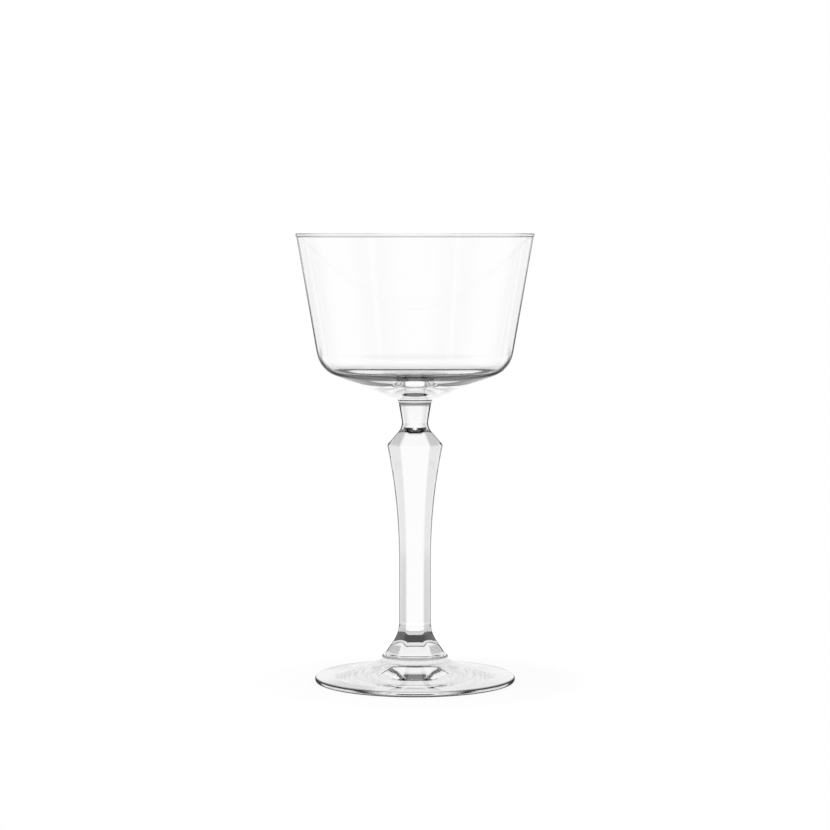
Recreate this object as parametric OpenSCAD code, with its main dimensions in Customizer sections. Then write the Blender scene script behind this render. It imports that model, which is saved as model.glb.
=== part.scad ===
// Coupe glass with a straight-sided bowl on a six-sided stem
// Sizes in millimetres, +Z up, origin on the table under the centre of the foot
// One flat side of the stem faces -Y

/* [Bowl] */
// Height of the rim above the table
rim_z = 160; // [152:0.5:175]
// Radius over the rim bead
rim_r = 42.4; // [40:0.1:46]
// Height of the rim bead
bead_h = 1.3; // [1.1:0.1:2.4]
// How far the bead stands out from the wall
bead_out = 0.35; // [0.2:0.05:0.6]
// Lean of the bowl wall from upright, in degrees
wall_lean = 9.9; // [7:0.1:12]
// Wall thickness under the bead
wall_rim = 0.8; // [0.7:0.05:1.4]
// Wall thickness at the foot of the wall
wall_low = 1.35; // [1:0.05:2]
// Slope of the underside from level, in degrees
under_slope = 21.4; // [18:0.1:24]
// Radius of the outer lower corner
corner_r = 10; // [6:0.5:12]
// Radius of the inner lower corner
inner_corner_r = 7; // [6:0.5:11]
// Depth of the inner floor below the outer corner before rounding, at the axis
floor_drop = 1.3; // [0:0.1:1.6]
// Slope of the inner floor from level, in degrees
floor_slope = 0; // [0:0.5:6]
// Radius of the face fused to the stem
bowl_joint_r = 6.1; // [5.9:0.1:6.8]
// Radius of the fillet above that face
bowl_fillet = 1; // [0.5:0.1:1.1]

/* [Stem] */
// Height of the joint between the bowl and the stem
bowl_joint_z = 99.9; // [97:0.1:101]
// Radius of the top of the neck
neck_top_r = 5.65; // [5.2:0.05:5.85]
// Height of the upright band at the top of the neck
neck_band = 0.9; // [0.4:0.1:1.5]
// Lean of the neck from upright, in degrees
neck_lean = 9.6; // [7:0.1:11]
// Radius of the hollow between the neck and the shoulder
waist_r = 5; // [3:0.25:6]
// Lean of the shoulder from upright, in degrees
shoulder_lean = 41; // [37:0.5:45]
// Radius over the corners at the shoulder, before rounding
shoulder_r = 9.9; // [9:0.1:10.4]
// Height from the shoulder corner up to the bowl's joint
shoulder_drop = 15.05; // [13.5:0.05:17]
// Rounding of the shoulder corner
shoulder_round = 1.4; // [0.8:0.1:2]
// Height of the top of the flat sides over the foot of the hollow above them
facet_rise = 0.4; // [0.25:0.05:0.6]
// Radius over the corners of the straight part of the shaft
shaft_r = 5.62; // [5.2:0.02:6.2]
// Height where the shaft starts to widen upward
taper_z = 43; // [32:1:52]
// Radius over the corners at the bottom of the stem
base_r = 10.5; // [9.5:0.1:10.8]
// Height of the upright edge at the bottom of the stem
base_edge = 0.7; // [0.4:0.1:1.2]
// Lean of the flare from upright, in degrees
flare_lean = 33.5; // [30:0.5:38]
// Radius of the hollow at the top of the flare
flare_r = 12; // [8:0.5:15]
// Distance over a flat side divided by the radius over the corners
flat_ratio = 0.893; // [0.875:0.001:0.92]
// Rounding of the flat sides' bends divided by the rounding of the corners' bends
flat_round = 0.7; // [0.5:0.05:0.85]

/* [Foot] */
// Height of the joint between the stem and the foot
foot_joint_z = 9.6; // [8.8:0.1:10.4]
// Radius of the foot
foot_r = 35.75; // [32:0.25:40]
// Thickness of the foot at its edge
edge_t = 2.1; // [1.9:0.1:2.6]
// Rounding of the foot's edge
edge_round = 0.85; // [0.4:0.05:0.9]
// Radius of the collar under the stem
collar_r = 11.8; // [11.4:0.1:12.6]
// Rounding of the collar's upper corner
collar_round = 0.7; // [0.3:0.1:1]
// Height of the collar above the foot's top
collar_h = 1.8; // [1.5:0.1:2.6]
// Rounding where the collar meets the foot's top
collar_fillet = 1; // [0.3:0.1:1.2]
// Slope of the foot's top at its edge, in degrees
top_slope = 2; // [0:0.5:4]
// Inner radius of the ring that rests on the table
ring_r = 29; // [24:0.5:31]
// Height of the hollow under the foot
hollow_h = 1; // [0.5:0.1:1.6]

/* [Hidden] */
$fn = 96;
arc_step = 9;
shaft_steps = 10;
flat_steps = 9;
sweep_steps = 10;
spare = 1;
glass_blue = [0.80, 0.88, 0.90];

// Unit vector along v
function unit(v) = v / norm(v);

// Tangent arc of radius r in the corner p between a and b
function fillet(a, p, b, r) =
    let (u = unit(a - p), v = unit(b - p), half = acos(u * v) / 2)
    let (centre = p + unit(u + v) * r / sin(half), first = p + u * r / tan(half))
    let (start = atan2(first.y - centre.y, first.x - centre.x))
    let (side = sign(u.x * v.y - u.y * v.x), sweep = side * (180 - 2 * half))
    let (n = max(2, ceil(abs(sweep) / arc_step)))
    [for (i = [0:n]) centre + r * [cos(start - sweep * i / n), sin(start - sweep * i / n)]];

// Outline through points of radius, height and corner rounding
function rounded(path) =
    let (n = len(path), at = [for (p = path) [p.x, p.y]])
    [for (i = [0:n - 1])
        each path[i].z == 0 ? [at[i]] : fillet(at[(i + n - 1) % n], at[i], at[(i + 1) % n], path[i].z)];

// Points without rounding
function plain(points) = [for (p = points) [p.x, p.y, 0]];

// Outside of the bowl, where the wall and the underside meet, and the top of the joint's fillet
wall_top_r = rim_r - bead_out;
wall_top_z = rim_z - bead_h;
under_rise = tan(under_slope);
under_start_z = bowl_joint_z + bowl_fillet;
corner_z = (under_start_z + (wall_top_r - wall_top_z * tan(wall_lean) - bowl_joint_r) * under_rise)
    / (1 - tan(wall_lean) * under_rise);
corner_x = wall_top_r - (wall_top_z - corner_z) * tan(wall_lean);

// Inside of the bowl, thicker towards the bottom
lip_r = wall_top_r - wall_rim;
inner_lean_tan = ((lip_r - (corner_x - wall_low)) / (wall_top_z - corner_z));
floor_z = corner_z - floor_drop;
floor_rise = tan(floor_slope);
inner_x = (lip_r - (wall_top_z - floor_z) * inner_lean_tan) / (1 - floor_rise * inner_lean_tan);
inner_z = floor_z + inner_x * floor_rise;
lip_round = min(bead_out + wall_rim, bead_h) * 0.45;

bowl_path = [
    [0, bowl_joint_z, 0],
    [bowl_joint_r, bowl_joint_z, 0],
    [bowl_joint_r, under_start_z, bowl_fillet],
    [corner_x, corner_z, corner_r],
    [wall_top_r, wall_top_z, 0],
    [rim_r, wall_top_z + bead_out, 0],
    [rim_r, rim_z, lip_round],
    [lip_r, rim_z, lip_round],
    [lip_r, wall_top_z, 0],
    [inner_x, inner_z, inner_corner_r],
    [0, floor_z, 0]
];

// Stem outline over the corners
neck_z = bowl_joint_z - neck_band;
shoulder_z = bowl_joint_z - shoulder_drop;
neck_in = tan(neck_lean);
shoulder_in = tan(shoulder_lean);
waist_z = (shoulder_r + shoulder_z * shoulder_in - neck_top_r + neck_z * neck_in) / (neck_in + shoulder_in);
waist_x = neck_top_r - (neck_z - waist_z) * neck_in;
hollow_leg = waist_r * tan((neck_lean + shoulder_lean) / 2);
facet_top_z = waist_z - hollow_leg * cos(shoulder_lean) + facet_rise;
facet_top_x = shoulder_r - (facet_top_z - shoulder_z) * shoulder_in;
shaft_dr = shoulder_r - shaft_r;
shaft_dz = shoulder_z - taper_z;
shaft_arc_r = (shaft_dr * shaft_dr + shaft_dz * shaft_dz) / (2 * shaft_dr);
shaft_arc_a = asin(shaft_dz / shaft_arc_r);
base_top_z = foot_joint_z + base_edge;
flare_z = base_top_z + (base_r - shaft_r) / tan(flare_lean);

// Shoulder corner, widening part of the shaft and top of the flare
function lower_path(steps, first, soft) = concat(
    [[shoulder_r, shoulder_z, shoulder_round * soft]],
    [for (i = [first:steps])
        let (a = shaft_arc_a * (1 - i / steps))
        [shaft_r + shaft_arc_r * (1 - cos(a)), taper_z + shaft_arc_r * sin(a), 0]],
    [[shaft_r, flare_z, flare_r * soft]]
);

stem_path = concat(
    [[0, bowl_joint_z, 0], [neck_top_r, bowl_joint_z, 0], [neck_top_r, neck_z, 0], [waist_x, waist_z, waist_r]],
    lower_path(shaft_steps, 1, 1),
    [[base_r, base_top_z, 0], [base_r, foot_joint_z, 0], [0, foot_joint_z, 0]]
);

// Half of the stem's outline over two opposite flats, wider than the round neck at the top
flat_end_z = foot_joint_z - spare;
flat_end_x = base_r + (base_top_z - flat_end_z) * tan(flare_lean);
flat_path = concat(
    [[0, bowl_joint_z + spare, 0], [neck_top_r + spare, bowl_joint_z + spare, 0]],
    [[facet_top_x, facet_top_z, 0]],
    lower_path(flat_steps - 0.5, 1, flat_round),
    [[flat_end_x, flat_end_z, 0], [0, flat_end_z, 0]]
);

// Foot top, a hollow sweep from its edge up to the collar
collar_z = foot_joint_z - collar_h;
sweep_x = foot_r - edge_round;
sweep_dr = sweep_x - collar_r;
sweep_dz = collar_z - edge_t;
sweep_chord = norm([sweep_dr, sweep_dz]);
sweep_turn = 2 * (atan2(sweep_dz, sweep_dr) - top_slope);
sweep_r = sweep_chord / (2 * sin(sweep_turn / 2));
foot_sweep = [for (i = [0:sweep_steps])
    let (a = top_slope + sweep_turn * i / sweep_steps)
    [sweep_x - sweep_r * (sin(a) - sin(top_slope)), edge_t + sweep_r * (cos(top_slope) - cos(a))]];

// Hollow under the foot, a shallow dome
dome_r = (ring_r * ring_r + hollow_h * hollow_h) / (2 * hollow_h);
dome_a = asin(ring_r / dome_r);
foot_hollow = [for (i = [0:sweep_steps])
    let (a = dome_a * i / sweep_steps)
    [dome_r * sin(a), hollow_h - dome_r * (1 - cos(a))]];

foot_path = concat(
    plain(foot_hollow),
    [[foot_r, 0, edge_round], [foot_r, edge_t, edge_round]],
    plain([for (i = [1:sweep_steps - 1]) foot_sweep[i]]),
    [[collar_r, collar_z, collar_fillet], [collar_r, foot_joint_z, collar_round], [0, foot_joint_z, 0]]
);

module bowl() {
    color(glass_blue)
    rotate_extrude()
    polygon(rounded(bowl_path));
}

module flats(turn) {
    half = [for (p = rounded(flat_path)) [p.x * flat_ratio, p.y]];
    n = len(half);
    other = [for (i = [n - 2:-1:1]) [-half[i].x, half[i].y]];
    rotate([0, 0, turn])
    rotate([90, 0, 90])
    linear_extrude(height = 4 * shoulder_r, center = true)
    polygon(concat(half, other));
}

module stem() {
    color(glass_blue)
    intersection() {
        rotate_extrude()
        polygon(rounded(stem_path));
        flats(0);
        flats(60);
        flats(120);
    }
}

module foot() {
    color(glass_blue)
    rotate_extrude()
    polygon(rounded(foot_path));
}

bowl();
stem();
foot();
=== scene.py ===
import math
from types import SimpleNamespace

import bpy
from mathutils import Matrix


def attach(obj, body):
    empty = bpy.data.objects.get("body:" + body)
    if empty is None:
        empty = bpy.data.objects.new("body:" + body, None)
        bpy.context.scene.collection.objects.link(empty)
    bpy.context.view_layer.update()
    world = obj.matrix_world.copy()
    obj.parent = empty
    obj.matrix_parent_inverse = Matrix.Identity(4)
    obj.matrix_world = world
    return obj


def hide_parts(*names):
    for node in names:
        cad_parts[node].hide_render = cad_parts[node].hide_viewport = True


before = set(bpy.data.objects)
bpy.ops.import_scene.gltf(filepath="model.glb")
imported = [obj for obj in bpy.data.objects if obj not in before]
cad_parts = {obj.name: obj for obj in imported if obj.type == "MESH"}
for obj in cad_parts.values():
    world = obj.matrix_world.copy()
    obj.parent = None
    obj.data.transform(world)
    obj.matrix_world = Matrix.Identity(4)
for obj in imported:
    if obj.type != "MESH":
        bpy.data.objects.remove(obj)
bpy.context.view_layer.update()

# Sizes in millimetres and degrees, the same as in the CAD source
MM = 0.001
RIM_Z, RIM_R, BEAD_H, BEAD_OUT = 160.0, 42.4, 1.3, 0.35
WALL_LEAN, WALL_RIM, WALL_LOW = 9.9, 0.8, 1.35
UNDER_SLOPE, CORNER_R, INNER_CORNER_R, FLOOR_DROP = 21.4, 10.0, 7.0, 1.3
BOWL_JOINT_Z, BOWL_JOINT_R, BOWL_FILLET = 99.9, 6.1, 1.0
NECK_TOP_R, NECK_BAND, NECK_LEAN, WAIST_R = 5.65, 0.9, 9.6, 5.0
SHOULDER_R, SHOULDER_Z, SHOULDER_LEAN, SHOULDER_ROUND = 9.9, 84.85, 41.0, 1.4
SHAFT_R, TAPER_Z = 5.62, 43.0
BASE_R, BASE_EDGE, FLARE_LEAN, FLARE_R = 10.5, 0.7, 33.5, 12.0
FOOT_JOINT_Z, FOOT_R, EDGE_T, EDGE_ROUND = 9.6, 35.75, 2.1, 0.85
COLLAR_R, COLLAR_ROUND, COLLAR_Z, COLLAR_FILLET = 11.8, 0.7, 7.8, 1.0
TOP_SLOPE, RING_R, HOLLOW_H = 2.0, 29.0, 1.0

# Small softened edges of the visual pieces, in millimetres or as shares of other sizes
JOINT_ROUND, FILLET_SHARE = 0.06, 0.97
BEAD_FOOT_ROUND, BEAD_EDGE_ROUND, LIP_SHARE = 0.3, 0.15, 0.45
NECK_ROUND, BASE_ROUND = 1.5, 0.4
STEM_EDGE, FACET_END, ROUND_START = 2.0, 89.6, 91.2
COLLAR_LAND = 0.1

# Fineness of the visual pieces
SEGMENTS = 384
ARC_STEP, ARC_LEAST = 4.0, 3
SUPPORT = 0.12
LONG_RUN = 6 * SUPPORT
SWEEP_STEPS, DOME_STEPS = 24, 12
POLE_R = 0.4
SHARP_ANGLE = math.radians(35)

# Half the turn that one of six flat sides takes, in degrees
HALF_FLAT = 30


def tan(deg):
    return math.tan(math.radians(deg))


def unit(x, y):
    size = math.hypot(x, y)
    return x / size, y / size


def corner_sides(a, p, b):
    """Directions from p to a and to b, and half the angle between them."""
    u = unit(a[0] - p[0], a[1] - p[1])
    v = unit(b[0] - p[0], b[1] - p[1])
    half = math.acos(max(-1.0, min(1.0, u[0] * v[0] + u[1] * v[1]))) / 2
    return u, v, half


def arc_centre(a, p, b, r):
    """Centre of the arc of radius r in the corner p between a and b."""
    u, v, half = corner_sides(a, p, b)
    w = unit(u[0] + v[0], u[1] + v[1])
    away = r / math.sin(half)
    return p[0] + w[0] * away, p[1] + w[1] * away


def fillet(a, p, b, r):
    """Points of the arc of radius r in the corner p between a and b."""
    u, v, half = corner_sides(a, p, b)
    centre = arc_centre(a, p, b, r)
    leg = r / math.tan(half)
    start = math.atan2(p[1] + u[1] * leg - centre[1], p[0] + u[0] * leg - centre[0])
    side = 1 if u[0] * v[1] - u[1] * v[0] > 0 else -1
    sweep = -side * (math.pi - 2 * half)
    steps = max(ARC_LEAST, math.ceil(abs(math.degrees(sweep)) / ARC_STEP))
    turns = [start + sweep * i / steps for i in range(steps + 1)]
    return [(centre[0] + r * math.cos(t), centre[1] + r * math.sin(t)) for t in turns]


def outline(path):
    """Open outline through (radius, height, rounding), with support points in the long runs."""
    rough = []
    for i, p in enumerate(path):
        rough += [p[:2]] if p[2] == 0 else fillet(path[i - 1], p, path[i + 1], p[2])
    points = [rough[0]]
    for a, b in zip(rough, rough[1:]):
        run = math.dist(a, b)
        if run > LONG_RUN:
            stops = [SUPPORT / run, 0.5, 1 - SUPPORT / run]
            points += [(a[0] + (b[0] - a[0]) * t, a[1] + (b[1] - a[1]) * t) for t in stops]
        points.append(b)
    return points


def circle_ring(radius, height):
    turns = [math.tau * i / SEGMENTS for i in range(SEGMENTS)]
    return [(radius * math.cos(t), radius * math.sin(t), height) for t in turns]


def six_sided_ring(radius, height, edge):
    """Ring with six flats, corners at +X, rounded so that the corners reach the radius."""
    flatness = math.cos(math.radians(HALF_FLAT))
    flat = radius * flatness + edge * (1 - flatness)
    core = (flat - edge) / flatness
    points = []
    for i in range(SEGMENTS):
        turn = math.tau * i / SEGMENTS
        off = abs((math.degrees(turn) + HALF_FLAT) % (2 * HALF_FLAT) - HALF_FLAT)
        if tan(HALF_FLAT - off) * flat <= (flat - edge) * tan(HALF_FLAT):
            r = flat / math.cos(math.radians(HALF_FLAT - off))
        else:
            s = math.radians(off)
            r = core * math.cos(s) + math.sqrt(max(0.0, edge ** 2 - (core * math.sin(s)) ** 2))
        points.append((r * math.cos(turn), r * math.sin(turn), height))
    return points


def skin(name, rings, pole_first=None, pole_last=None):
    """Smooth mesh over rings of equal size, closed at a point on the axis where one is given."""
    verts = [(x * MM, y * MM, z * MM) for ring in rings for x, y, z in ring]
    faces = []
    n = SEGMENTS
    for k in range(len(rings) - 1):
        for i in range(n):
            j = (i + 1) % n
            faces.append((k * n + i, k * n + j, (k + 1) * n + j, (k + 1) * n + i))
    if pole_last is not None:
        verts.append((0.0, 0.0, pole_last * MM))
        base = (len(rings) - 1) * n
        faces += [(base + i, base + (i + 1) % n, len(verts) - 1) for i in range(n)]
    if pole_first is not None:
        verts.append((0.0, 0.0, pole_first * MM))
        faces += [((i + 1) % n, i, len(verts) - 1) for i in range(n)]
    mesh = bpy.data.meshes.new(name)
    mesh.from_pydata(verts, [], faces)
    mesh.validate()
    mesh.polygons.foreach_set("use_smooth", [True] * len(mesh.polygons))
    mesh.set_sharp_from_angle(angle=SHARP_ANGLE)
    piece = bpy.data.objects.new(name, mesh)
    bpy.context.scene.collection.objects.link(piece)
    return piece


# Bowl, from the joint up the outside, over the rim and down the inside
wall_r, wall_z = RIM_R - BEAD_OUT, RIM_Z - BEAD_H
under_z = BOWL_JOINT_Z + BOWL_FILLET
wall_in, rise = tan(WALL_LEAN), tan(UNDER_SLOPE)
corner_z = (under_z + (wall_r - wall_z * wall_in - BOWL_JOINT_R) * rise) / (1 - wall_in * rise)
corner_x = wall_r - (wall_z - corner_z) * wall_in
floor_z = corner_z - FLOOR_DROP
lip_r = wall_r - WALL_RIM
inner_in = (lip_r - (corner_x - WALL_LOW)) / (wall_z - corner_z)
inner_x = lip_r - (wall_z - floor_z) * inner_in
lip_round = min(BEAD_OUT + WALL_RIM, BEAD_H) * LIP_SHARE
bowl_line = outline([
    (NECK_TOP_R, BOWL_JOINT_Z, 0),
    (BOWL_JOINT_R, BOWL_JOINT_Z, JOINT_ROUND),
    (BOWL_JOINT_R, under_z, BOWL_FILLET * FILLET_SHARE),
    (corner_x, corner_z, CORNER_R),
    (wall_r, wall_z, BEAD_FOOT_ROUND),
    (RIM_R, wall_z + BEAD_OUT, BEAD_EDGE_ROUND),
    (RIM_R, RIM_Z, lip_round),
    (lip_r, RIM_Z, lip_round),
    (lip_r, wall_z, BEAD_FOOT_ROUND),
    (inner_x, floor_z, INNER_CORNER_R),
    (POLE_R, floor_z, 0),
])
bowl = skin("bowl_glass", [circle_ring(r, z) for r, z in bowl_line], pole_last=floor_z)
arc_r, arc_z = arc_centre((BOWL_JOINT_R, under_z), (corner_x, corner_z), (wall_r, wall_z), CORNER_R)

# Stem, from the joint under the bowl down to the foot
neck_z = BOWL_JOINT_Z - NECK_BAND
neck_in, shoulder_in = tan(NECK_LEAN), tan(SHOULDER_LEAN)
waist_z = SHOULDER_R + SHOULDER_Z * shoulder_in - NECK_TOP_R + neck_z * neck_in
waist_z /= neck_in + shoulder_in
waist_x = NECK_TOP_R - (neck_z - waist_z) * neck_in
shaft_dr, shaft_dz = SHOULDER_R - SHAFT_R, SHOULDER_Z - TAPER_Z
shaft_arc_r = (shaft_dr ** 2 + shaft_dz ** 2) / (2 * shaft_dr)
shaft_arc_a = math.asin(shaft_dz / shaft_arc_r)
base_z = FOOT_JOINT_Z + BASE_EDGE
flare_z = base_z + (BASE_R - SHAFT_R) / tan(FLARE_LEAN)
shaft = []
for i in range(1, SWEEP_STEPS + 1):
    a = shaft_arc_a * (1 - i / SWEEP_STEPS)
    shaft.append((SHAFT_R + shaft_arc_r * (1 - math.cos(a)), TAPER_Z + shaft_arc_r * math.sin(a), 0))
stem_line = outline([
    (NECK_TOP_R, BOWL_JOINT_Z, 0),
    (NECK_TOP_R, neck_z, NECK_ROUND),
    (waist_x, waist_z, WAIST_R),
    (SHOULDER_R, SHOULDER_Z, SHOULDER_ROUND),
    *shaft,
    (SHAFT_R, flare_z, FLARE_R),
    (BASE_R, base_z, BASE_ROUND),
    (BASE_R, FOOT_JOINT_Z, 0),
])


def edge_at(radius, height):
    """Rounding of the six corners, the whole radius on the round neck."""
    t = max(0.0, min(1.0, (height - FACET_END) / (ROUND_START - FACET_END)))
    return STEM_EDGE + (radius - STEM_EDGE) * t * t * (3 - 2 * t)


stem_rings = [six_sided_ring(r, z, edge_at(r, z)) for r, z in stem_line]
stem = skin("stem_glass", list(reversed(stem_rings)))

# Foot, from the joint under the stem outwards and round to the hollow underneath
sweep_x = FOOT_R - EDGE_ROUND
sweep_dr, sweep_dz = sweep_x - COLLAR_R, COLLAR_Z - EDGE_T
top = math.radians(TOP_SLOPE)
sweep_turn = 2 * (math.atan2(sweep_dz, sweep_dr) - top)
sweep_r = math.hypot(sweep_dr, sweep_dz) / (2 * math.sin(sweep_turn / 2))
sweep = []
for i in range(SWEEP_STEPS, 0, -1):
    a = top + sweep_turn * i / SWEEP_STEPS
    r = sweep_x - sweep_r * (math.sin(a) - math.sin(top))
    z = EDGE_T + sweep_r * (math.cos(top) - math.cos(a))
    sweep.append((r, z, COLLAR_FILLET if i == SWEEP_STEPS else 0))
dome_r = (RING_R ** 2 + HOLLOW_H ** 2) / (2 * HOLLOW_H)
dome_a = math.asin(RING_R / dome_r)
dome = []
for i in range(DOME_STEPS, 0, -1):
    a = dome_a * i / DOME_STEPS
    dome.append((dome_r * math.sin(a), HOLLOW_H - dome_r * (1 - math.cos(a)), 0))
foot_line = outline([
    (COLLAR_R - COLLAR_ROUND - COLLAR_LAND, FOOT_JOINT_Z, 0),
    (COLLAR_R, FOOT_JOINT_Z, COLLAR_ROUND),
    *sweep,
    (FOOT_R, EDGE_T, EDGE_ROUND),
    (FOOT_R, 0, EDGE_ROUND),
    *dome,
    (POLE_R, HOLLOW_H, 0),
])
foot_rings = [stem_rings[-1]] + [circle_ring(r, z) for r, z in foot_line]
foot = skin("foot_glass", list(reversed(foot_rings)), pole_first=HOLLOW_H)

# Bodies and replaced nodes
for piece, node in ((bowl, "bowl"), (stem, "stem"), (foot, "foot")):
    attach(piece, "root")
    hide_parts(node)


def fed(tree, socket, value):
    """Feed a socket from another socket, or set it to a plain value."""
    if isinstance(value, bpy.types.NodeSocket):
        tree.links.new(value, socket)
    else:
        socket.default_value = value


def calc(tree, operation, a, b=0.0):
    node = tree.nodes.new("ShaderNodeMath")
    node.operation = operation
    fed(tree, node.inputs[0], a)
    fed(tree, node.inputs[1], b)
    return node.outputs[0]


def product(tree, first, *others):
    for other in others:
        first = calc(tree, "MULTIPLY", first, other)
    return first


def highest(tree, first, *others):
    for other in others:
        first = calc(tree, "MAXIMUM", first, other)
    return first


def span(tree, a, b):
    """Length of a step made of two parts at right angles."""
    return calc(tree, "SQRT", calc(tree, "ADD", product(tree, a, a), product(tree, b, b)))


def smooth(tree, value, low, high, at_low=0.0, at_high=1.0):
    """A soft step of a value, from at_low at low to at_high at high."""
    node = tree.nodes.new("ShaderNodeMapRange")
    node.interpolation_type = "SMOOTHSTEP"
    ends = {"From Min": low, "From Max": high, "To Min": at_low, "To Max": at_high}
    for name, end in {"Value": value, **ends}.items():
        fed(tree, node.inputs[name], end)
    return node.outputs["Result"]


def band(tree, value, low, high, soft):
    """One between low and high, falling to nothing over soft on each side."""
    start = smooth(tree, value, low - soft, low)
    return product(tree, start, smooth(tree, value, high, high + soft, 1.0, 0.0))


def mixed(tree, share, first, second):
    node = tree.nodes.new("ShaderNodeMixShader")
    fed(tree, node.inputs["Fac"], share)
    tree.links.new(first, node.inputs[1])
    tree.links.new(second, node.inputs[2])
    return node.outputs["Shader"]


def parts(tree, vector):
    node = tree.nodes.new("ShaderNodeSeparateXYZ")
    tree.links.new(vector, node.inputs["Vector"])
    return node.outputs["X"], node.outputs["Y"], node.outputs["Z"]


# Least outward lean of a surface that counts as the outside of the glass
OUTWARD = 0.2


def surface(tree):
    """Place of a point of the glass in millimetres, which way it faces and how squarely it is seen."""
    place = tree.nodes.new("ShaderNodeTexCoord")
    x, y, z = parts(tree, place.outputs["Object"])
    normal_x, normal_y, normal_z = parts(tree, place.outputs["Normal"])
    reach = span(tree, x, y)
    along = calc(tree, "ADD", product(tree, x, normal_x), product(tree, y, normal_y))
    view = tree.nodes.new("ShaderNodeLayerWeight")
    return SimpleNamespace(
        place=place.outputs["Object"],
        height=calc(tree, "DIVIDE", z, MM),
        radius=calc(tree, "DIVIDE", reach, MM),
        outside=calc(tree, "GREATER_THAN", calc(tree, "DIVIDE", along, reach), OUTWARD),
        up=normal_z,
        facing=view.outputs["Facing"],
    )


# Glass: facing runs from 0, seen square on, to 1, seen edge on; heights and radii are in millimetres
# A ramp is low, high and the levels there, 0 and 1 where left out; a band is low, high and softness
GLASS_IOR = 1.52
# The foot's tint is greyer than the bowl's and stem's; that extra grey is painted shade over the whole
# foot
BOWL_TINT, STEM_TINT, FOOT_TINT_AND_SHADE, TINT_DRIFT = 0.988, 0.97, 0.85, 0.012
DRIFT_SCALE = 18.0
# Colour of the painted shade in the glass
SHADE_PAINT_COLOUR = (0.01, 0.01, 0.01, 1)
SHADOW_COLOUR = (0.85, 0.85, 0.85, 1)

# Painted shade on the bowl
BOWL_EDGE = (0.78, 0.88)
BOWL_EDGE_FADE = (112.0, 158.0, 0.95, 0.5)
BOWL_EDGE_START = (108.5, 110.5)
BEND_IN, BEND_OUT, BEND_HEIGHTS = (0.68, 0.8), (0.86, 0.95, 0.9, 0.35), (114.0, 120.0)
INNER_SIDE = (CORNER_R - 0.35, CORNER_R - 0.25, 1.0, 0.0)
RING_TILT, RING_FLAT, RING_RADII = (0.25, 0.9), (0.85, 0.97, 0.35, 1.0), (23.0, 25.5)
RING_FACING = (0.5, 0.62, 0.65, 1.0)
GRAZE, GRAZE_TILT, GRAZE_HEIGHTS = (0.8, 0.95), (0.9, 0.97, 0.7, 0.0), (117.0, 121.0, 1.0, 0.0)
SPOT_RADII, CIRCLE_RADII = (3.1, 3.9, 1.0, 0.0), (24.0, 28.5, 0.5)
UNDER_UP, UNDER_DEPTH = -0.9, 0.2
RIM_LINE, RIM_LINE_SIDES = (158.85, 158.95, 0.3), (0.0, 0.05, 0.1, 0.35)

# Painted shade on the stem
STEM_EDGE_FACING = (0.52, 0.68)
STEM_EDGE_FADE = (86.0, 96.0, 0.8, 0.95)
FLARE_HEIGHTS, FLARE_FACING = (10.9, 13.0, 0.8), (0.46, 0.55, 0.0, 0.85)
NECK_LINE, NECK_LINE_SHARE = (99.2, 100.2, 0.3), 0.6

# Painted shade on the foot
FOOT_EDGE = (0.05, 0.16)
FOOT_EDGE_FADE = (1.6, 2.1, 0.95, 0.0)
COLLAR_LINE, COLLAR_FACING = (9.0, 9.5, 0.25), (0.1, 0.6, 0.35, 0.6)
GAP_HEIGHTS, GAP_FACING, GAP_SHARE = (0.55, 1.15, 0.2), (0.26, 0.6, 0.1), 0.85


def bowl_painted_shade(tree, at):
    """Painted shade on the bowl: dark edges, the ring round the lower corner, two painted images under
    the floor and the rim's line.
    """
    bend = product(tree, smooth(tree, at.facing, *BEND_IN), smooth(tree, at.facing, *BEND_OUT))
    edge = smooth(tree, at.height, *BEND_HEIGHTS, bend, smooth(tree, at.facing, *BOWL_EDGE))
    edge = product(tree, edge, smooth(tree, at.height, *BOWL_EDGE_FADE), at.outside)
    edge = product(tree, edge, smooth(tree, at.height, *BOWL_EDGE_START))
    tilt = calc(tree, "ABSOLUTE", at.up)
    ring = product(tree, smooth(tree, at.up, *RING_TILT), smooth(tree, at.up, *RING_FLAT))
    ring = product(tree, ring, smooth(tree, at.radius, *RING_RADII))
    ring = product(tree, ring, smooth(tree, at.facing, *RING_FACING))
    graze = product(tree, smooth(tree, at.facing, *GRAZE), smooth(tree, tilt, *GRAZE_TILT))
    within = calc(tree, "SUBTRACT", 1.0, at.outside)
    graze = product(tree, graze, smooth(tree, at.height, *GRAZE_HEIGHTS), within)
    across = calc(tree, "SUBTRACT", at.radius, arc_r)
    from_arc = span(tree, across, calc(tree, "SUBTRACT", at.height, arc_z))
    corner = product(tree, highest(tree, ring, graze), smooth(tree, from_arc, *INNER_SIDE))
    under = highest(tree, smooth(tree, at.radius, *SPOT_RADII), band(tree, at.radius, *CIRCLE_RADII))
    under = product(tree, under, calc(tree, "LESS_THAN", at.up, UNDER_UP))
    under = product(tree, under, calc(tree, "GREATER_THAN", at.height, floor_z - UNDER_DEPTH))
    rim = product(tree, band(tree, at.height, *RIM_LINE), smooth(tree, at.facing, *RIM_LINE_SIDES))
    return highest(tree, edge, corner, under, rim)


def stem_painted_shade(tree, at):
    """Painted shade on the stem: dark edges, the slanting sides of the flare and the line round the
    joint with the bowl.
    """
    edge = smooth(tree, at.facing, *STEM_EDGE_FACING)
    edge = product(tree, edge, smooth(tree, at.height, *STEM_EDGE_FADE))
    flare = product(tree, band(tree, at.height, *FLARE_HEIGHTS), smooth(tree, at.facing, *FLARE_FACING))
    flare = product(tree, flare, at.outside)
    return highest(tree, edge, flare, product(tree, band(tree, at.height, *NECK_LINE), NECK_LINE_SHARE))


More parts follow.
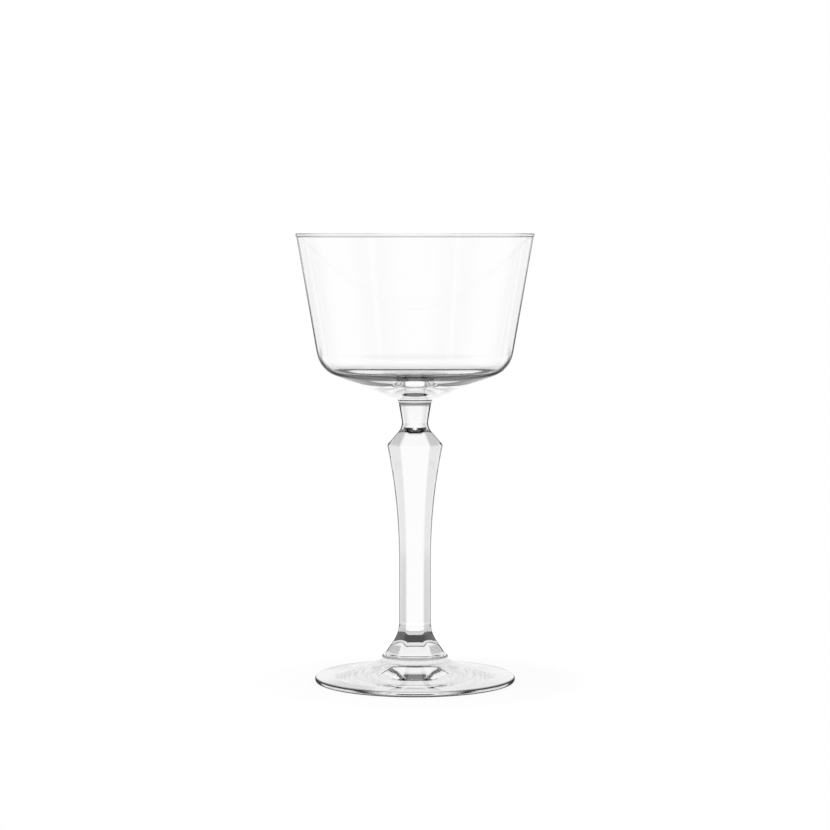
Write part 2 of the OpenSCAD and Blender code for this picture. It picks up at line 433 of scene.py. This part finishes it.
def foot_painted_shade(tree, at):
    """Painted shade on the foot: a dark edge with a light unpainted gap along its middle, and a grey
    line round the collar.
    """
    edge = product(tree, smooth(tree, at.facing, *FOOT_EDGE), smooth(tree, at.height, *FOOT_EDGE_FADE))
    edge = product(tree, edge, at.outside)
    gap = product(tree, band(tree, at.height, *GAP_HEIGHTS), band(tree, at.facing, *GAP_FACING))
    gap = product(tree, gap, GAP_SHARE)
    edge = product(tree, edge, calc(tree, "SUBTRACT", 1.0, gap))
    collar = product(tree, band(tree, at.height, *COLLAR_LINE), smooth(tree, at.facing, *COLLAR_FACING))
    return highest(tree, edge, product(tree, collar, at.outside))


def glass(name, tint, painted_shade):
    """Clear glass with a faint drift of tint, painted shade from a dark shader, and a light shadow."""
    material = bpy.data.materials.new(name)
    material.use_nodes = True
    tree = material.node_tree
    nodes, links = tree.nodes, tree.links
    at = surface(tree)
    noise = nodes.new("ShaderNodeTexNoise")
    noise.inputs["Scale"].default_value = DRIFT_SCALE
    links.new(at.place, noise.inputs["Vector"])
    drift = nodes.new("ShaderNodeValToRGB")
    for element, level in zip(drift.color_ramp.elements, (tint, tint + TINT_DRIFT)):
        element.color = (level, level, level, 1)
    links.new(noise.outputs["Fac"], drift.inputs["Fac"])
    clear = nodes["Principled BSDF"]
    clear.inputs["Roughness"].default_value = 0.0
    clear.inputs["IOR"].default_value = GLASS_IOR
    clear.inputs["Transmission Weight"].default_value = 1.0
    links.new(drift.outputs["Color"], clear.inputs["Base Color"])
    # Dark matte shader that paints the shade into the glass
    dark = nodes.new("ShaderNodeBsdfPrincipled")
    dark.inputs["Base Color"].default_value = SHADE_PAINT_COLOUR
    dark.inputs["Roughness"].default_value = 1.0
    dark.inputs["Specular IOR Level"].default_value = 0.0
    lit = nodes.new("ShaderNodeBsdfTransparent")
    lit.inputs["Color"].default_value = SHADOW_COLOUR
    path = nodes.new("ShaderNodeLightPath")
    # Painted shade: the dark shader replaces the clear glass by each piece's share
    body = mixed(tree, painted_shade(tree, at), clear.outputs["BSDF"], dark.outputs["BSDF"])
    whole = mixed(tree, path.outputs["Is Shadow Ray"], body, lit.outputs["BSDF"])
    links.new(whole, nodes["Material Output"].inputs["Surface"])
    return material


# Finishes
# Each glass piece with its own painted shade
bowl.data.materials.append(glass("bowl_clear_painted_shade", BOWL_TINT, bowl_painted_shade))
stem.data.materials.append(glass("stem_clear_painted_shade", STEM_TINT, stem_painted_shade))
foot.data.materials.append(glass("foot_clear_painted_shade", FOOT_TINT_AND_SHADE, foot_painted_shade))


# Studio seen through the glass: turns and climbs in degrees, levels from 0 to 1, where 1 is white
WHITE = (1, 1, 1, 1)
HALF_QUARTER = 45.0
GREY_TURNS, HALF_WAY = (12.0, 38.0), (41.0, 43.0)
GREY_LOW, GREY_HIGH, GREY_CLIMBS = 0.62, 0.80, (-9.0, -4.0)
TOP_CLIMBS = (40.0, 50.0, 1.0, 0.1)
LOW_CLIMBS = (-34.0, -29.0, 0.4, 1.0)


def quarter_turn(tree, x, y):
    """Degrees to the nearest of the four main directions, at most half a quarter turn."""
    turn = calc(tree, "ABSOLUTE", calc(tree, "DEGREES", calc(tree, "ARCTAN2", x, y)))
    return calc(tree, "PINGPONG", turn, HALF_QUARTER)


def surround(tree, turn, grey):
    """White along the main directions and half way between two of them, and grey elsewhere."""
    return smooth(tree, turn, *HALF_WAY, smooth(tree, turn, *GREY_TURNS, 1.0, grey), 1.0)


# Floor in metres, near white to the camera, greyer between the main directions through the glass, with
# a painted shadow under the foot
FLOOR_R, FLOOR_POINTS = 0.12, 96
FLOOR_COLOUR = (0.12, 0.12, 0.12, 1)
FLOOR_SEEN = (0.05, 0.11, 0.82, 1.0)
FLOOR_THROUGH = (12.0, 35.0, 0.85, 0.45)
FLOOR_PAINTED_SHADOW, FLOOR_FADE = (0.010, 0.018), (0.06, 0.115)
turns = [math.tau * i / FLOOR_POINTS for i in range(FLOOR_POINTS)]
border = [(FLOOR_R * math.cos(t), FLOOR_R * math.sin(t), 0) for t in turns]
mesh = bpy.data.meshes.new("floor")
mesh.from_pydata(border, [], [range(FLOOR_POINTS)])
floor = bpy.data.objects.new("floor", mesh)
bpy.context.scene.collection.objects.link(floor)
material = bpy.data.materials.new("floor_pale")
material.use_nodes = True
tree = material.node_tree
matte = tree.nodes["Principled BSDF"]
matte.inputs["Base Color"].default_value = FLOOR_COLOUR
matte.inputs["Roughness"].default_value = 1.0
matte.inputs["Specular IOR Level"].default_value = 0.0
matte.inputs["Emission Color"].default_value = WHITE
place = tree.nodes.new("ShaderNodeTexCoord")
path = tree.nodes.new("ShaderNodeLightPath")
x, y, _ = parts(tree, place.outputs["Object"])
from_axis = span(tree, x, y)
turn = quarter_turn(tree, x, y)
# Painted shadow: through the glass the floor's glow falls to nothing near the axis
through = product(tree, smooth(tree, turn, *FLOOR_THROUGH), smooth(tree, from_axis, *FLOOR_PAINTED_SHADOW))
through = smooth(tree, from_axis, *FLOOR_FADE, through, surround(tree, turn, GREY_LOW))
seen = smooth(tree, from_axis, *FLOOR_SEEN)
glow = smooth(tree, path.outputs["Is Transmission Ray"], 0.0, 1.0, seen, through)
fed(tree, matte.inputs["Emission Strength"], glow)
floor.data.materials.append(material)

# World, white to the camera and to reflections, with greyer stretches, top and bottom through the glass
world = bpy.data.worlds.new("studio")
bpy.context.scene.world = world
world.use_nodes = True
tree = world.node_tree
place = tree.nodes.new("ShaderNodeTexCoord")
path = tree.nodes.new("ShaderNodeLightPath")
x, y, z = parts(tree, place.outputs["Generated"])
climb = calc(tree, "DEGREES", calc(tree, "ARCSINE", z))
grey = smooth(tree, climb, *GREY_CLIMBS, GREY_LOW, GREY_HIGH)
sides = surround(tree, quarter_turn(tree, x, y), grey)
through = product(tree, sides, smooth(tree, climb, *TOP_CLIMBS), smooth(tree, climb, *LOW_CLIMBS))
backdrop = tree.nodes["Background"]
backdrop.inputs["Color"].default_value = WHITE
glow = smooth(tree, path.outputs["Is Transmission Ray"], 0.0, 1.0, 1.0, through)
fed(tree, backdrop.inputs["Strength"], glow)

# Soft lamp overhead, out of sight of the glass
LAMP_SIZE, LAMP_POWER = 1.0, 10.0
LAMP_PLACE, LAMP_TURN = (-0.35, -0.2, 1.2), (-9.0, -16.0, 0.0)
lamp = bpy.data.lights.new("lamp", "AREA")
lamp.size = LAMP_SIZE
lamp.energy = LAMP_POWER
lamp_at = bpy.data.objects.new("lamp", lamp)
lamp_at.location = LAMP_PLACE
lamp_at.rotation_euler = [math.radians(turn) for turn in LAMP_TURN]
lamp_at.visible_transmission = False
lamp_at.visible_glossy = False
bpy.context.scene.collection.objects.link(lamp_at)

# Enough bounces for light inside the thick glass, and no bright spots cast by it
BOUNCES = 40
cycles = bpy.context.scene.cycles
cycles.caustics_refractive = False
cycles.max_bounces = BOUNCES
cycles.glossy_bounces = BOUNCES
cycles.transmission_bounces = BOUNCES

# Camera at the photo's place
CAMERA_PLACE, CAMERA_DIP = (0.0, -0.950, 0.1594), 3.852
LENS_MM, SENSOR_MM = 115.94, 36.0
lens = bpy.data.cameras.new("camera")
lens.lens = LENS_MM
lens.sensor_width = SENSOR_MM
camera = bpy.data.objects.new("camera", lens)
camera.location = CAMERA_PLACE
camera.rotation_euler = (math.radians(90 - CAMERA_DIP), 0.0, 0.0)
bpy.context.scene.collection.objects.link(camera)
bpy.context.scene.camera = camera
bpy.context.scene.view_settings.view_transform = "Standard"
